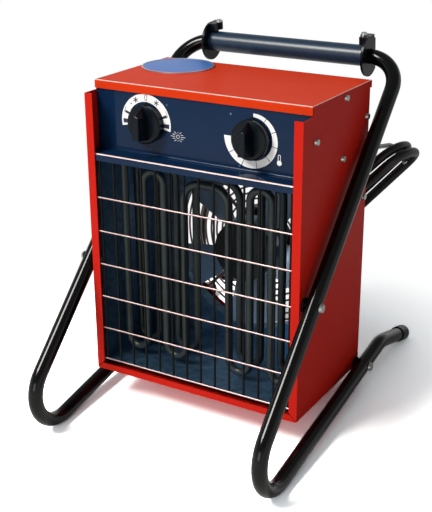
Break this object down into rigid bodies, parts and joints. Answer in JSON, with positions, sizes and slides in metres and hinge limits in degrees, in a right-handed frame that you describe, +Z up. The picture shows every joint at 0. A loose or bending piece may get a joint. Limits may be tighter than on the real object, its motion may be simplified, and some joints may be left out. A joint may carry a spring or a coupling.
{
  "type": "forced air heater",
  "caption": "Portable electric forced air heater: leaning steel box with a wire grille, tubular elements and axial fan, two rotary controls, on a bent-tube stand with a carrying grip.",
  "frame": {"origin": "on the floor, under the middle of the heater without its cord", "axes": "+X across the heater to its right as seen from the front, +Y from front to back, +Z up"},
  "size_m": [0.3035, 0.3746, 0.3743],
  "materials": {
    "red_paint": "glossy red stove enamel",
    "navy_panel": "glossy dark navy enamel with white dial marks",
    "galvanised": "galvanised sheet, spangled",
    "element_sheath": "dark oxidised steel sheath",
    "bright_wire": "bright plated wire",
    "dark_wire": "black lacquered wire",
    "black_tube": "glossy black enamel",
    "black_plastic": "moulded black plastic",
    "grip_plastic": "satin dark navy plastic",
    "zinc": "bright zinc plate",
    "badge_blue": "blue anodised disc with a bright rim",
    "rotor_black": "black lacquered motor",
    "blade_steel": "dark lacquered sheet blades",
    "cord_rubber": "black rubber",
    "ceramic": "cream moulded insulator",
    "brass_pin": "nickel-tinted brass",
    "copper": "bare copper"
  },
  "bodies": {
    "heater": {"casing_shell": "red_paint", "top_cover": "red_paint", "badge_plate": "badge_blue", "control_panel": "navy_panel", "compartment_floor": "galvanised", "inner_duct": "galvanised", "rear_panel": "red_paint", "fan_guard": "bright_wire", "motor_stator": "rotor_black", "motor_bearings": "zinc", "heating_element_front": "element_sheath", "heating_element_rear": "element_sheath", "element_nuts": "zinc", "element_terminals": "zinc", "grille_rods": "bright_wire", "grille_wires": "dark_wire", "rotary_switch": "ceramic", "thermostat_body": "zinc", "thermostat_capillary": "copper", "overheat_cutout": "ceramic", "terminal_block": "ceramic", "stand_tube_left": "black_tube", "stand_tube_right": "black_tube", "handle_spigot": "zinc", "handle_grip": "grip_plastic", "handle_flanges": "black_plastic", "flange_screws": "zinc", "tube_end_caps": "black_plastic", "stand_bolts": "zinc", "stand_nuts": "zinc", "stand_spacers": "black_plastic", "casing_screws": "zinc", "guard_screws": "zinc", "motor_screws": "zinc", "panel_screws": "zinc", "cord_hook": "zinc", "cord_gland": "black_plastic", "cord_hank": "cord_rubber", "cord_lead": "cord_rubber", "cord_tail": "cord_rubber", "plug_body": "cord_rubber", "plug_pins": "brass_pin"},
    "switch": {"switch_knob": "black_plastic", "switch_spindle": "zinc"},
    "thermostat": {"thermostat_knob": "black_plastic", "thermostat_spindle": "zinc"},
    "fan": {"rotor_cup": "rotor_black", "motor_shaft": "zinc", "fan_impeller": "blade_steel"}
  },
  "joints": [
    {"name": "switch_turn", "type": "hinge", "parent": "heater", "child": "switch", "pos_m": [-0.061, -0.03265, 0.31958], "axis": [0, 0.9945, -0.1045], "range_deg": [-90, 90]},
    {"name": "thermostat_turn", "type": "hinge", "parent": "heater", "child": "thermostat", "pos_m": [0.061, -0.03265, 0.31958], "axis": [0, 0.9945, -0.1045], "range_deg": [0, 270]},
    {"name": "fan_spin", "type": "hinge", "parent": "heater", "child": "fan", "pos_m": [0, 0.0468, 0.15236], "axis": [0, 0.9945, -0.1045], "continuous": true}
  ]
}
